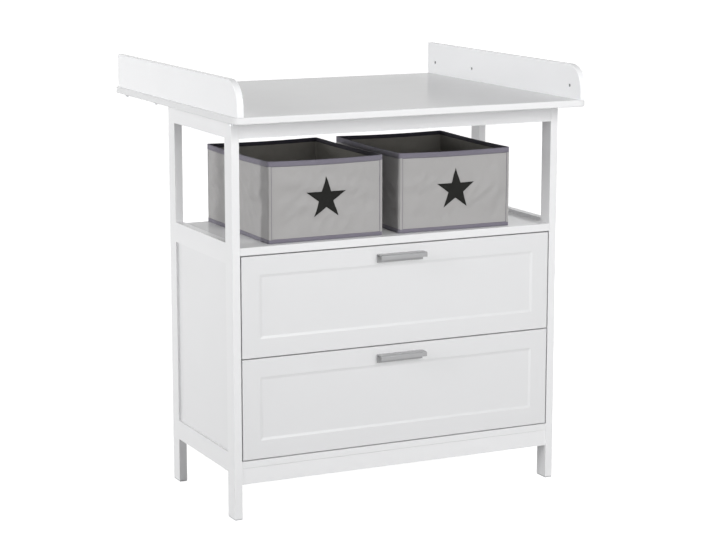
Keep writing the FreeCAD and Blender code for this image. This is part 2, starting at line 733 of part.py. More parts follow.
def build():
    """Draw every piece."""
    mirror_piece(post("front_left_post", POST_SPANS[0], ("front_top_rail", "front_apron")),
                 "front_right_post")
    mirror_piece(post("back_left_post", POST_SPANS[1], ("back_top_rail",)), "back_right_post")
    foot_glides()
    mirror_piece(side_rail("left_top_rail", ("rail_underside", "frame_height")), "right_top_rail")
    middle = side_rail("left_middle_rail", ("middle_rail_underside", "side_top"),
                       ("middle_rail_underside", "middle_rail_underside + tongue_depth"),
                       "shelf_middle")
    mirror_piece(middle, "right_middle_rail")
    bottom = side_rail("left_bottom_rail", ("side_underside", "bottom_rail_top"),
                       ("bottom_rail_top - tongue_depth", "bottom_rail_top"), "bottom_middle")
    mirror_piece(bottom, "right_bottom_rail")
    mirror_piece(side_panel("left_side_panel"), "right_side_panel")
    cross_rail("front_top_rail", "cross_rail_thickness")
    cross_rail("back_top_rail", "cross_rail_thickness")
    cross_rail("front_apron", "apron_thickness")
    shelf_board("middle_shelf", "shelf_underside", "shelf_thickness", "shelf_middle")
    shelf_board("bottom_board", "bottom_height", "bottom_thickness", "bottom_middle")
    back_panel()
    changing_board()
    mirror_piece(left_cheek(), "right_cheek")
    cheek_bolts()
    for level in LEVELS:
        drawer(level)
    for side in ("left", "right"):
        storage_box(side)


def check():
    """Stop on a failed feature, an empty cut or a bad solid."""
    for thing in doc.Objects:
        if "Invalid" in thing.State or "Error" in thing.State:
            raise RuntimeError(f"{thing.Label} failed: {thing.State}")
    for shaper in SHAPERS:
        if abs(shaper.Shape.Volume - shaper.BaseFeature.Shape.Volume) < 1e-3:
            raise RuntimeError(f"{shaper.Label} changes nothing")
    for item in PIECES:
        if item.Shape.isNull() or not item.Shape.isValid() or not item.Shape.Solids:
            raise RuntimeError(f"{item.Label} has no valid solid")


def export():
    """Write each piece to its own STEP file."""
    os.makedirs("parts", exist_ok=True)
    for item in PIECES:
        item.Shape.exportStep(f"parts/{item.Label}.step")
        print(f"{item.Label}: {len(item.Shape.Solids)} solids, {item.Shape.Volume / 1000:.1f} cm3")


fill_sheets()
build()
doc.recompute()
check()
export()
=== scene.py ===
"""Looks of the white changing dresser: lacquer, steel runners, bar handles and cloth boxes.

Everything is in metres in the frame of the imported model: X to the right, Y to the back, Z up,
origin on the floor under the middle of the changing board.
"""
import math

import bmesh
import bpy
from mathutils import Matrix, Vector, noise


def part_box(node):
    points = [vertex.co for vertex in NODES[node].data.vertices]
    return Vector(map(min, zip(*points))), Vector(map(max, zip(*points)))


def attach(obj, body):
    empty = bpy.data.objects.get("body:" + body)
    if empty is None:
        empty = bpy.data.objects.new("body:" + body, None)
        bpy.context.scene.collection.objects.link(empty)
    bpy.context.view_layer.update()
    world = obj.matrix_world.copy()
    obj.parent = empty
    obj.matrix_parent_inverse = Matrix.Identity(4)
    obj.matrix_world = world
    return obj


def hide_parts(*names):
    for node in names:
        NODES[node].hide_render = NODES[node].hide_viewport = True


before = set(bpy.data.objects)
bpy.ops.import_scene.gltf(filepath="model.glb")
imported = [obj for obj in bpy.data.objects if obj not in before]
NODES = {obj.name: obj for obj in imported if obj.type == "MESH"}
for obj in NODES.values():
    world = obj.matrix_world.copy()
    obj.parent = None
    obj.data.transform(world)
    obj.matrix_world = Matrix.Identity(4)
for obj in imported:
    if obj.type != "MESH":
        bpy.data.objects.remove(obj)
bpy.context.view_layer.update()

WHITE = (0.83, 0.832, 0.84, 1)
PAPER_WHITE = (1, 1, 1, 1)
SIDES = ("left", "right")
LEVELS = ("lower", "upper")


# ---------------------------------------------------------------- shader groups

BLOTCH_SCALE = 14.0                     # where lacquer is a little rougher or smoother
BRUSH_STRETCH = (18, 2600, 2600)        # long lines along X


def new_group(name, inputs, outputs):
    """An empty shader group with float, vector or colour sockets given as (name, kind, value)."""
    tree = bpy.data.node_groups.new(name, "ShaderNodeTree")
    for label, kind, default in inputs:
        socket = tree.interface.new_socket(name=label, in_out="INPUT",
                                           socket_type=f"NodeSocket{kind}")
        socket.default_value = default
    for label, kind in outputs:
        tree.interface.new_socket(name=label, in_out="OUTPUT", socket_type=f"NodeSocket{kind}")
    return tree, tree.nodes.new("NodeGroupInput"), tree.nodes.new("NodeGroupOutput")


def node(tree, kind, links=(), **values):
    """A node whose sockets are set by name or number, or linked from other nodes' sockets."""
    made = tree.nodes.new(kind)
    for key, value in values.items():
        setattr(made, key, value)
    for key, value in links:
        if isinstance(value, bpy.types.NodeSocket):
            tree.links.new(value, made.inputs[key])
        else:
            made.inputs[key].default_value = value
    return made


def maths(tree, operation, first, second=0.0):
    """The result socket of a Math node."""
    made = node(tree, "ShaderNodeMath", [(0, first), (1, second)], operation=operation)
    return made.outputs[0]


def cloud(tree, vector, scale, detail=3.0, roughness=0.5):
    """The value of a noise texture."""
    made = node(tree, "ShaderNodeTexNoise",
                [("Vector", vector), ("Scale", scale), ("Detail", detail),
                 ("Roughness", roughness)])
    return made.outputs["Fac"]


def wander(tree, value, amount, middle):
    """A texture's value swung round a middle by an amount."""
    swing = maths(tree, "MULTIPLY", maths(tree, "SUBTRACT", value, 0.5), amount)
    return maths(tree, "ADD", swing, middle)


def make_drift():
    """Slow change of a colour over a surface."""
    tree, given, out = new_group("colour_drift",
                                 [("Colour", "Color", PAPER_WHITE), ("Size", "Float", 3.0),
                                  ("Amount", "Float", 0.03)], [("Colour", "Color")])
    place = node(tree, "ShaderNodeTexCoord").outputs["Object"]
    level = wander(tree, cloud(tree, place, given.outputs["Size"], 2.0),
                   given.outputs["Amount"], 1.0)
    scaled = node(tree, "ShaderNodeVectorMath", [(0, given.outputs["Colour"]), (3, level)],
                  operation="SCALE")
    tree.links.new(scaled.outputs[0], out.inputs["Colour"])
    return tree


def make_grain():
    """Wood grain that shows faintly through lacquer, long in the direction of the least scale."""
    tree, given, out = new_group("grain_under_lacquer", [("Scale", "Vector", (300, 300, 12))],
                                 [("Height", "Float")])
    place = node(tree, "ShaderNodeTexCoord").outputs["Object"]
    stretched = node(tree, "ShaderNodeVectorMath", [(0, place), (1, given.outputs["Scale"])],
                     operation="MULTIPLY").outputs[0]
    tree.links.new(cloud(tree, stretched, 1.0, 5.0, 0.6), out.inputs["Height"])
    return tree


def make_ripple():
    """Fine ripple of sprayed lacquer or powder coat, with a roughness that wanders a little."""
    tree, given, out = new_group("spray_ripple",
                                 [("Scale", "Float", 260.0), ("Roughness", "Float", 0.3),
                                  ("Wander", "Float", 0.1)],
                                 [("Height", "Float"), ("Roughness", "Float")])
    place = node(tree, "ShaderNodeTexCoord").outputs["Object"]
    tree.links.new(cloud(tree, place, given.outputs["Scale"], 2.0), out.inputs["Height"])
    rough = wander(tree, cloud(tree, place, BLOTCH_SCALE), given.outputs["Wander"],
                   given.outputs["Roughness"])
    tree.links.new(rough, out.inputs["Roughness"])
    return tree


def make_weave():
    """Plain weave on the piece's UV map, in threads per metre."""
    tree, given, out = new_group("plain_weave", [("Threads", "Float", 1400.0)],
                                 [("Height", "Float")])
    place = node(tree, "ShaderNodeTexCoord").outputs["UV"]
    spread = node(tree, "ShaderNodeVectorMath", [(0, place), (3, given.outputs["Threads"])],
                  operation="SCALE").outputs[0]
    axes = node(tree, "ShaderNodeSeparateXYZ", [(0, spread)])
    across, along = axes.outputs[0], axes.outputs[1]
    steps = maths(tree, "ADD", maths(tree, "FLOOR", across), maths(tree, "FLOOR", along))
    over = maths(tree, "PINGPONG", steps, 1.0)
    warp = maths(tree, "ABSOLUTE", maths(tree, "SINE", maths(tree, "MULTIPLY", across, math.pi)))
    weft = maths(tree, "ABSOLUTE", maths(tree, "SINE", maths(tree, "MULTIPLY", along, math.pi)))
    height = node(tree, "ShaderNodeMix", [("Factor", over), ("A", warp), ("B", weft)])
    tree.links.new(height.outputs["Result"], out.inputs["Height"])
    return tree


def make_brush():
    """Fine brushing of metal along X."""
    tree, given, out = new_group("brushing", [("Roughness", "Float", 0.35),
                                              ("Depth", "Float", 0.12)],
                                 [("Height", "Float"), ("Roughness", "Float")])
    place = node(tree, "ShaderNodeTexCoord").outputs["Object"]
    stretched = node(tree, "ShaderNodeVectorMath", [(0, place), (1, BRUSH_STRETCH)],
                     operation="MULTIPLY").outputs[0]
    lines = cloud(tree, stretched, 1.0, 4.0, 0.65)
    tree.links.new(lines, out.inputs["Height"])
    tree.links.new(wander(tree, lines, given.outputs["Depth"], given.outputs["Roughness"]),
                   out.inputs["Roughness"])
    return tree


GROUPS = {"drift": make_drift(), "grain": make_grain(), "ripple": make_ripple(),
          "weave": make_weave(), "brush": make_brush()}


# ---------------------------------------------------------------- materials

LACQUER_RIPPLE, GRAIN_RELIEF, BRUSH_RELIEF = 0.00002, 0.00004, 0.000004
# Painted shade: cloth colour is darkened in the gaps of the weave.
GAP_SHADE = 0.12            # how much darker cloth is between its threads


class Finish:
    """A material with one Principled shader that groups feed."""

    def __init__(self, name, colour, **shader):
        self.material = bpy.data.materials.new(name)
        self.material.use_nodes = True
        self.tree = self.material.node_tree
        self.shader = self.tree.nodes["Principled BSDF"]
        self.bump = None
        for key, value in shader.items():
            self.shader.inputs[key.replace("_", " ")].default_value = value
        self.shader.inputs["Base Color"].default_value = colour

    def use(self, kind, **values):
        """A group's node in this material."""
        made = self.tree.nodes.new("ShaderNodeGroup")
        made.node_tree = GROUPS[kind]
        for key, value in values.items():
            made.inputs[key.replace("_", " ")].default_value = value
        return made

    def feed(self, socket, source):
        """Link a group's output to the shader."""
        self.tree.links.new(source, self.shader.inputs[socket])

    def raise_by(self, height, depth):
        """One more Bump, in metres, on top of those before it."""
        bump = node(self.tree, "ShaderNodeBump", [("Strength", 1.0), ("Distance", depth),
                                                  ("Height", height)])
        if self.bump:
            self.tree.links.new(self.bump.outputs[0], bump.inputs["Normal"])
        self.bump = bump
        self.feed("Normal", bump.outputs[0])


def lacquer(name, grain=None, roughness=0.3, colour=WHITE, ior=1.42):
    """White lacquer on board, or on pine whose grain still shows."""
    finish = Finish(name, colour, IOR=ior)
    drift = finish.use("drift", Colour=colour, Size=2.5, Amount=0.02)
    finish.feed("Base Color", drift.outputs[0])
    ripple = finish.use("ripple", Scale=240.0, Roughness=roughness, Wander=0.05)
    finish.feed("Roughness", ripple.outputs["Roughness"])
    finish.raise_by(ripple.outputs["Height"], LACQUER_RIPPLE)
    if grain:
        finish.raise_by(finish.use("grain", Scale=grain).outputs[0], GRAIN_RELIEF)
    return finish.material


def coated(name, colour, roughness, scale, depth, metallic=0.0):
    """Powder coat, plastic or plated steel: one colour with a fine ripple."""
    finish = Finish(name, colour, Metallic=metallic)
    drift = finish.use("drift", Colour=colour, Size=20.0, Amount=0.08)
    finish.feed("Base Color", drift.outputs[0])
    ripple = finish.use("ripple", Scale=scale, Roughness=roughness, Wander=0.12)
    finish.feed("Roughness", ripple.outputs["Roughness"])
    finish.raise_by(ripple.outputs["Height"], depth)
    return finish.material


def silver_lacquer():
    """Silver lacquer on the brushed metal of the bar handles."""
    colour = (0.31, 0.312, 0.318, 1)
    finish = Finish("silver_lacquer", colour, Metallic=0.1, IOR=1.9)
    drift = finish.use("drift", Colour=colour, Size=30.0, Amount=0.05)
    finish.feed("Base Color", drift.outputs[0])
    brush = finish.use("brush", Roughness=0.24, Depth=0.1)
    finish.feed("Roughness", brush.outputs["Roughness"])
    finish.raise_by(brush.outputs["Height"], BRUSH_RELIEF)
    return finish.material


def cloth(name, colour, threads, depth, sheen, gloss=0.3):
    """Woven cloth with painted shade in the gaps between threads, which are counted per metre."""
    finish = Finish(name, colour, Roughness=0.7, Specular_IOR_Level=gloss, Sheen_Weight=sheen,
                    Sheen_Roughness=0.5)
    weave = finish.use("weave", Threads=threads)
    drift = finish.use("drift", Colour=colour, Size=9.0, Amount=0.1)
    lit = maths(finish.tree, "MULTIPLY", weave.outputs["Height"], GAP_SHADE)
    level = maths(finish.tree, "ADD", lit, 1.0 - GAP_SHADE)
    tinted = node(finish.tree, "ShaderNodeVectorMath", [(0, drift.outputs[0]), (3, level)],
                  operation="SCALE")
    finish.feed("Base Color", tinted.outputs[0])
    finish.raise_by(weave.outputs["Height"], depth)
    return finish.material


ACROSS, ALONG = 260, 9      # stretch of pine grain, across and along the wood

MATERIALS = {
    "board": lacquer("lacquered_board", roughness=0.12, colour=(0.83, 0.833, 0.84, 1), ior=1.1),
    # The cheeks' lacquer is the same white lacquer made brighter: painted light on the cheeks.
    "cheek": lacquer("lacquered_cheek_painted_light", roughness=0.12, colour=(0.94, 0.944, 0.955, 1), ior=1.3),
    "panel": lacquer("lacquered_panel", colour=(0.8, 0.802, 0.81, 1)),
    "front": lacquer("lacquered_front", roughness=0.34, colour=(0.755, 0.757, 0.765, 1)),
    "upright_pine": lacquer("lacquered_pine_upright", (ACROSS, ACROSS, ALONG)),
    "side_pine": lacquer("lacquered_pine_along_y", (ACROSS, ALONG, ACROSS)),
    "cross_pine": lacquer("lacquered_pine_along_x", (ALONG, ACROSS, ACROSS)),
    "hardboard": lacquer("foiled_hardboard", roughness=0.5, colour=(0.8, 0.8, 0.8, 1)),
    "glide": coated("glide_plastic", (0.55, 0.56, 0.57, 1), roughness=0.5, scale=900.0,
                    depth=0.00003),
    "cap": coated("cap_plastic", (0.82, 0.82, 0.82, 1), roughness=0.4, scale=900.0,
                  depth=0.00002),
    "nylon": coated("wheel_nylon", (0.82, 0.82, 0.79, 1), roughness=0.38, scale=500.0,
                    depth=0.00002),
    "runner": coated("runner_powder_coat", (0.8, 0.8, 0.79, 1), roughness=0.4, scale=700.0,
                     depth=0.00004),
    "zinc": coated("zinc_plate", (0.62, 0.63, 0.65, 1), roughness=0.3, scale=300.0,
                   depth=0.00002, metallic=1.0),
    # Zinc darkened for the barrel nuts that sit in bores: painted shade of the bore.
    "zinc_painted_shade": coated("zinc_in_a_bore_painted_shade", (0.17, 0.17, 0.18, 1), roughness=0.45, scale=300.0,
                        depth=0.00002, metallic=1.0),
    "silver": silver_lacquer(),
    "box_cloth": cloth("box_cloth", (0.422, 0.414, 0.411, 1), threads=1250.0, depth=0.00012,
                       sheen=0.2),
    "box_lining": cloth("box_lining", (0.21, 0.2, 0.182, 1), threads=1250.0, depth=0.00012,
                        sheen=0.1),
    # One binding tape folded over the rim, in two colours: the lighter outside copy is painted
    # light, the near-black inside copy is painted shade.
    "outer_tape_painted_light": cloth("binding_tape_outside_painted_light", (0.2, 0.187, 0.232, 1), threads=900.0,
                        depth=0.0002, sheen=0.25),
    "inner_tape_painted_shade": cloth("binding_tape_inside_painted_shade", (0.034, 0.031, 0.043, 1), threads=900.0,
                        depth=0.0002, sheen=0.05),
    "thread": cloth("sewing_thread", (0.3, 0.29, 0.31, 1), threads=3000.0, depth=0.00005,
                    sheen=0.2),
    "piping": cloth("edge_piping", (0.2, 0.19, 0.215, 1), threads=2400.0, depth=0.00005,
                    sheen=0.1),
    "star_print": cloth("star_print", (0.009, 0.009, 0.008, 1), threads=1250.0, depth=0.00008,
                        sheen=0.0, gloss=0.16),
}

UPRIGHT = ("front_left_post", "front_right_post", "back_left_post", "back_right_post")
ALONG_Y = [f"{side}_{rail}_rail" for side in SIDES for rail in ("top", "middle", "bottom")]
ALONG_X = ("front_top_rail", "back_top_rail", "front_apron")
BOARDS = ("changing_board", "middle_shelf", "bottom_board")
PANELS = ("left_side_panel", "right_side_panel")
FINISH_BY_WORD = {"glides": "glide", "_cheek": "cheek", "bolts": "zinc", "wheels": "nylon",
                  "runner": "runner", "drawer_left_rail": "runner",
                  "drawer_right_rail": "runner", "_handle": "silver",
                  "drawer_bottom": "hardboard", "back_panel": "hardboard",
                  "box_shell": "box_cloth", "box_card": "box_lining"}


def cad_material(name):
    """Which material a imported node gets."""
    if name in UPRIGHT:
        return "upright_pine"
    if name in ALONG_Y:
        return "side_pine"
    if name in ALONG_X:
        return "cross_pine"
    if name in BOARDS:
        return "board"
    if name in PANELS:
        return "panel"
    for word, finish in FINISH_BY_WORD.items():
        if word in name:
            return finish
    return "front"


for name, item in NODES.items():
    item.data.materials.clear()
    item.data.materials.append(MATERIALS[cad_material(name)])


# ---------------------------------------------------------------- making pieces

SHARP = 1.0                 # radians; edges that turn more than this are rounded
TALL = 0.1                  # upright edges longer than this are cut to follow the wrinkles
TINY = 1e-6                 # keeps a drive's outline clear of a division by zero


def finish_piece(name, bm, material, body, stands_for=(), smooth=True):
    """Turn a bmesh into a piece that rides on a body."""
    bmesh.ops.recalc_face_normals(bm, faces=bm.faces)
    mesh = bpy.data.meshes.new(name)
    bm.to_mesh(mesh)
    bm.free()
    for polygon in mesh.polygons:
        polygon.use_smooth = smooth
    piece = bpy.data.objects.new(name, mesh)
    bpy.context.scene.collection.objects.link(piece)
    mesh.materials.append(MATERIALS[material])
    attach(piece, body)
    if stands_for:
        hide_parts(*stands_for)


def facing(axis):
    """Rotation that turns +Z to a signed axis such as '-x'."""
    across = {"x": (1, 0, 0), "y": (0, 1, 0), "z": (0, 0, 1)}[axis[-1]]
    target = Vector(across) * (-1 if axis[0] == "-" else 1)
    return target.to_track_quat("Z", "Y").to_matrix().to_4x4()


def rod(bm, place, radius, length, segments=24):
    """Cylinder along +Z of a place, with its foot at the place."""
    shift = Matrix.Translation((0, 0, length / 2))
    made = bmesh.ops.create_cone(bm, cap_ends=True, segments=segments, radius1=radius,
                                 radius2=radius, depth=length, matrix=place @ shift)
    return made["verts"]


def top_face(verts, place):
    """The flat face furthest along +Z of a place among the faces of some vertices."""
    back = place.inverted()
    faces = {face for vert in verts for face in vert.link_faces}
    return max(faces, key=lambda face: (back @ face.calc_center_median()).z)


def cross_drive(reach, half_width):
    """Outline of a cross recess, as radius by angle."""
    def radius(angle):
        turn = (angle + math.pi / 4) % (math.pi / 2) - math.pi / 4
        return min(reach, half_width / max(abs(math.sin(turn)), TINY))
    return radius


def slot_drive(reach, half_width):
    """Outline of a screwdriver slot."""
    return lambda angle: min(reach, half_width / max(abs(math.sin(angle)), TINY))


def hex_drive(across_flats):
    """Outline of a hexagon socket."""
    return lambda angle: across_flats / 2 / math.cos(angle % (math.pi / 3) - math.pi / 6)


def driven_head(bm, place, radius, height, drive, depth, round_over=0.0004):
    """Screw head with its foot at a place and a recess in its top."""
    rim_share, reach = 0.12, 3 * radius + height
    verts = rod(bm, place, radius, height, segments=48)
    top = top_face(verts, place)
    bmesh.ops.bevel(bm, geom=list(top.edges), offset=round_over, segments=3, profile=0.5,
                    affect="EDGES", material=-1)
    near = [vert for vert in bm.verts if (vert.co - place.translation).length < reach]
    top = top_face(near, place)
    bmesh.ops.inset_region(bm, faces=[top], thickness=radius * rim_share, use_even_offset=True)
    back = place.inverted()
    for vert in top.verts:
        local = back @ vert.co
        angle = math.atan2(local.y, local.x)
        edge = Vector((math.cos(angle), math.sin(angle), 0)) * drive(angle)
        vert.co = place @ Vector((edge.x, edge.y, local.z))
    sunk = bmesh.ops.extrude_discrete_faces(bm, faces=[top])["faces"][0]
    down = place.to_3x3() @ Vector((0, 0, -depth))
    bmesh.ops.translate(bm, vec=down, verts=sunk.verts)


# ---------------------------------------------------------------- drawer fronts

FIELD_MARGIN, FIELD_BEVEL, FIELD_DEPTH = 0.0428, 0.006, 0.002
FIELD_ROUND, MOUTH_ROUND, RIM_ROUND = 0.0012, 0.0004, 0.001


def drawer_front(level):
    """Drawer front with a routed field, whose sloping edge is narrow and shallow."""
    bm = bmesh.new()
    low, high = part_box(f"{level}_drawer_front")
    made = bmesh.ops.create_cube(bm, size=1.0)["verts"]
    bmesh.ops.scale(bm, vec=high - low, verts=made)
    bmesh.ops.translate(bm, vec=(low + high) / 2, verts=made)
    face = min(bm.faces, key=lambda each: each.calc_center_median().y)
    bmesh.ops.inset_region(bm, faces=[face], thickness=FIELD_MARGIN, use_even_offset=True)
    mouth = list(face.edges)
    bmesh.ops.inset_region(bm, faces=[face], thickness=FIELD_BEVEL, depth=-FIELD_DEPTH,
                           use_even_offset=True)
    bmesh.ops.bevel(bm, geom=list(face.edges), offset=FIELD_ROUND, segments=3, profile=0.5,
                    affect="EDGES", material=-1)
    bmesh.ops.bevel(bm, geom=mouth, offset=MOUTH_ROUND, segments=2, profile=0.5,
                    affect="EDGES", material=-1)
    rims = [edge for edge in bm.edges if edge.calc_face_angle(0) > SHARP]
    bmesh.ops.bevel(bm, geom=rims, offset=RIM_ROUND, segments=3, profile=0.5, affect="EDGES",
                    material=-1)
    finish_piece(f"{level}_routed_front", bm, "front", f"{level}_drawer",
                 [f"{level}_drawer_front"], smooth=False)


for level in LEVELS:
    drawer_front(level)


# ---------------------------------------------------------------- fasteners and wheels

BOARD_LOW, BOARD_HIGH = (corner.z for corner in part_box("changing_board"))
CHEEK_MIDDLE = (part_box("right_cheek")[0].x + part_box("right_cheek")[1].x) / 2
HALF_CHEEK = 0.008
NUT_RISE = 0.030
NUT_REACH = 0.0126          # inner face of a cheek to the blind end of its barrel nut
BOLT_ROWS = (-0.335, 0.144, 0.344)
RUNNER_SHEET = 0.0012
CABINET_SCREWS_ALONG = (0.045, 0.16, 0.31)
RAIL_SCREWS_ALONG, RAIL_SCREW_RISE = (0.03, 0.15, 0.27), 0.0065
HANDLE_SCREW_SPREAD, HANDLE_SCREW_RISE = 0.048, 0.009
WHEEL_WIDTH, WHEEL_BORE = 0.0056, 0.0025
RIVET_RADIUS, RIVET_FLATNESS, RIVET_STAND = 0.0029, 0.25, 0.0004
CAM_INSET, CAM_ALONG = 0.039, (0.045, 0.315)
BOARD_SCREWS_ACROSS = (-0.28, 0.0, 0.28)


def cheek_hardware():
    """Cap bolts with washers under the changing board and slotted barrel nuts in the cheeks."""
    bolts, nuts = bmesh.new(), bmesh.new()
    washer, overlap, short_of_nut = 0.001, 0.0002, 0.004
    inner = CHEEK_MIDDLE - HALF_CHEEK
    for sign in (-1, 1):
        for row in BOLT_ROWS:
            under = Matrix.Translation((sign * CHEEK_MIDDLE, row, BOARD_LOW)) @ facing("-z")
            rod(bolts, under, radius=0.006, length=washer, segments=32)
            driven_head(bolts, under @ Matrix.Translation((0, 0, washer)), radius=0.005,
                        height=0.0048, drive=hex_drive(0.005), depth=0.003)
            shank = Matrix.Translation((sign * CHEEK_MIDDLE, row, BOARD_LOW + overlap))
            rod(bolts, shank, radius=0.00295,
                length=BOARD_HIGH - BOARD_LOW + NUT_RISE - short_of_nut)
            nut = Matrix.Translation((sign * (inner + NUT_REACH), row, BOARD_HIGH + NUT_RISE))
            driven_head(nuts, nut @ facing("-x" if sign > 0 else "x"), radius=0.00395,
                        height=0.0116, drive=slot_drive(0.003, 0.0006), depth=0.0012)
    finish_piece("cheek_cap_bolts", bolts, "zinc", "frame", ["cheek_bolts"])
    # The barrel nuts take the darkened zinc, which is painted shade.
    finish_piece("cheek_barrel_nuts", nuts, "zinc_painted_shade", "frame", ["cheek_bolts"])


def cabinet_runner_screws(level):
    """Flat screws through the web of each cabinet runner."""
    bm = bmesh.new()
    low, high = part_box(f"{level}_left_cabinet_runner")
    web, middle = abs(low.x) - RUNNER_SHEET, (low.z + high.z) / 2
    for sign in (-1, 1):
        for along in CABINET_SCREWS_ALONG:
            place = Matrix.Translation((sign * web, low.y + along, middle))
            driven_head(bm, place @ facing("-x" if sign > 0 else "x"), radius=0.0038,
                        height=0.0009, drive=cross_drive(0.0022, 0.0006), depth=0.0007,
                        round_over=0.0003)
    finish_piece(f"{level}_cabinet_runner_screws", bm, "zinc", "frame")


def drawer_rail_screws(level):
    """Screws through the web of each drawer rail into the drawer side."""
    bm = bmesh.new()
    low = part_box(f"{level}_drawer_left_rail")[0]
    side_outer = abs(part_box(f"{level}_drawer_left_side")[0].x)
    web = side_outer + RUNNER_SHEET
    for sign in (-1, 1):
        for along in RAIL_SCREWS_ALONG:
            place = Matrix.Translation((sign * web, low.y + along, low.z + RAIL_SCREW_RISE))
            driven_head(bm, place @ facing("x" if sign > 0 else "-x"), radius=0.0032,
                        height=0.0015, drive=cross_drive(0.0019, 0.0005), depth=0.0009)
    finish_piece(f"{level}_drawer_rail_screws", bm, "zinc", f"{level}_drawer")


def handle_screws(level):
    """Two pan head screws of a handle, on the back of the drawer front."""
    bm = bmesh.new()
    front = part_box(f"{level}_drawer_front")
    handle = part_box(f"{level}_handle")
    height = handle[0].z + HANDLE_SCREW_RISE
    washer = 0.0008
    for sign in (-1, 1):
        place = Matrix.Translation((sign * HANDLE_SCREW_SPREAD, front[1].y, height)) @ facing("y")
        rod(bm, place, radius=0.0055, length=washer, segments=32)
        driven_head(bm, place @ Matrix.Translation((0, 0, washer)), radius=0.0042,
                    height=0.0024, drive=cross_drive(0.0025, 0.0006), depth=0.0016,
                    round_over=0.0009)
    finish_piece(f"{level}_handle_screws", bm, "zinc", f"{level}_drawer")


def wheel_outline(width, radius, bore):
    """Section of a nylon wheel: distance along its axis and radius, with a web and a hub."""
    half = [(0.0, bore), (0.0, 0.41 * radius), (0.0006, 0.44 * radius), (0.0006, 0.8 * radius),
            (0.0, 0.83 * radius), (0.0, 0.95 * radius), (0.0005, radius)]
    return half + [(width - along, out) for along, out in reversed(half)]


def wheels(level, end, body):
    """A pair of nylon wheels."""
    name = f"{level}_{end}_wheels"
    low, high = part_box(name)
    middle = (low + high) / 2
    radius, near = (high.z - low.z) / 2, high.x - WHEEL_WIDTH
    bm = bmesh.new()
    for sign in (-1, 1):
        start = [bm.verts.new((sign * (near + along), middle.y, middle.z + out))
                 for along, out in wheel_outline(WHEEL_WIDTH, radius, WHEEL_BORE)]
        edges = [bm.edges.new((start[index - 1], start[index])) for index in range(len(start))]
        bmesh.ops.spin(bm, geom=start + edges, cent=(0, middle.y, middle.z), axis=(1, 0, 0),
                       angle=2 * math.pi, steps=56, use_merge=True)
    finish_piece(name + "_turned", bm, "nylon", body, [name], smooth=False)


def axle_rivets(level):
    """Rounded rivet heads on the ends of the wheel axles."""
    for end, body, inward in (("front", "frame", True), ("rear", f"{level}_drawer", False)):
        bm = bmesh.new()
        low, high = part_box(f"{level}_{end}_wheels")
        middle = (low + high) / 2
        for sign in (-1, 1):
            across = high.x + RIVET_STAND
            if inward:
                across = high.x - WHEEL_WIDTH - RIVET_STAND
            place = Matrix.Translation((sign * across, middle.y, middle.z))
            place @= facing("x" if (sign > 0) != inward else "-x")
            bmesh.ops.create_uvsphere(bm, u_segments=24, v_segments=10, radius=RIVET_RADIUS,
                                      matrix=place @ Matrix.Diagonal((1, 1, RIVET_FLATNESS, 1)))
        finish_piece(f"{level}_{end}_axle_rivets", bm, "zinc", body)


def cam_covers():
    """Covers of the cam locks under the shelf and the bottom board, near each corner."""
    bm = bmesh.new()
    for board in ("middle_shelf", "bottom_board"):
        low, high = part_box(board)
        for sign in (-1, 1):
            for along in CAM_ALONG:
                place = Matrix.Translation((sign * (high.x - CAM_INSET), low.y + along, low.z))
                driven_head(bm, place @ facing("-z"), radius=0.0085, height=0.0008,
                            drive=cross_drive(0.003, 0.0007), depth=0.0005)
    finish_piece("cam_covers", bm, "cap", "frame")


def board_screws():
    """Screws under the top rails that hold the changing board."""
    bm = bmesh.new()
    for rail in ("front_top_rail", "back_top_rail"):
        low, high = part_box(rail)
        for across in BOARD_SCREWS_ACROSS:
            place = Matrix.Translation((across, (low.y + high.y) / 2, low.z)) @ facing("-z")
            driven_head(bm, place, radius=0.0042, height=0.0006,
                        drive=cross_drive(0.0025, 0.0006), depth=0.0004, round_over=0.0002)
    finish_piece("board_screws", bm, "zinc", "frame")


cheek_hardware()
cam_covers()
board_screws()
for level in LEVELS:
    cabinet_runner_screws(level)
    drawer_rail_screws(level)
    handle_screws(level)
    wheels(level, "front", f"{level}_front_rollers")
    wheels(level, "rear", f"{level}_rear_rollers")
    axle_rivets(level)


# ---------------------------------------------------------------- storage boxes

BOX_WIDTH, BOX_DEPTH, BOX_HEIGHT = 0.288, 0.362, 0.187
BOX_CORNER = 0.005
TAPE_WIDTH, FOOT_TAPE_WIDTH, TAPE_THICK = 0.0125, 0.0095, 0.0006
SEAM = 0.006
SEAM_LOW, SEAM_HIGH = FOOT_TAPE_WIDTH - 0.001, BOX_HEIGHT - TAPE_WIDTH + 0.001
SEAM_PROUD = 0.0003
SHELF_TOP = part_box("middle_shelf")[1].z
BOX_LIFT = 0.0003
BELLY, SLANTING_FOLD, SMALL_DENT, ROLLING_FOLD = 0.0014, 0.0046, 0.0016, 0.0058
CARD_FOLD, FRONT_SAG, SIDE_SAG = 0.0012, 0.0022, 0.0018
WALL_CUTS, TAPE_CUTS = (60, 70, 40), (60, 70, 2)
STITCH_PITCH, STITCH_SHARE, THREAD_WIDTH = 0.0034, 0.68, 0.0005
STAR_RADIUS, STAR_INNER_SHARE = 0.0515, 0.385
STAR_HEIGHT, STAR_PROUD, PRINT_THICK = 0.0955, 0.0005, 0.0003
# Front left corner and turn of each box, as its solid stands.
BOX_PLACES = {"left": (-0.321, -0.273, 0.4), "right": (0.0105, -0.270, -1.1)}
BOX_SEEDS = {"left": 1.7, "right": 9.4}


def unwrap_by_side(bm):
    """UV map in metres from whichever two axes a face lies along."""
    layer = bm.loops.layers.uv.verify()
    for face in bm.faces:
        normal = face.normal
        biggest = max(range(3), key=lambda axis: abs(normal[axis]))
        first, second = [axis for axis in range(3) if axis != biggest]
        for loop in face.loops:
            loop[layer].uv = (loop.vert.co[first], loop.vert.co[second])


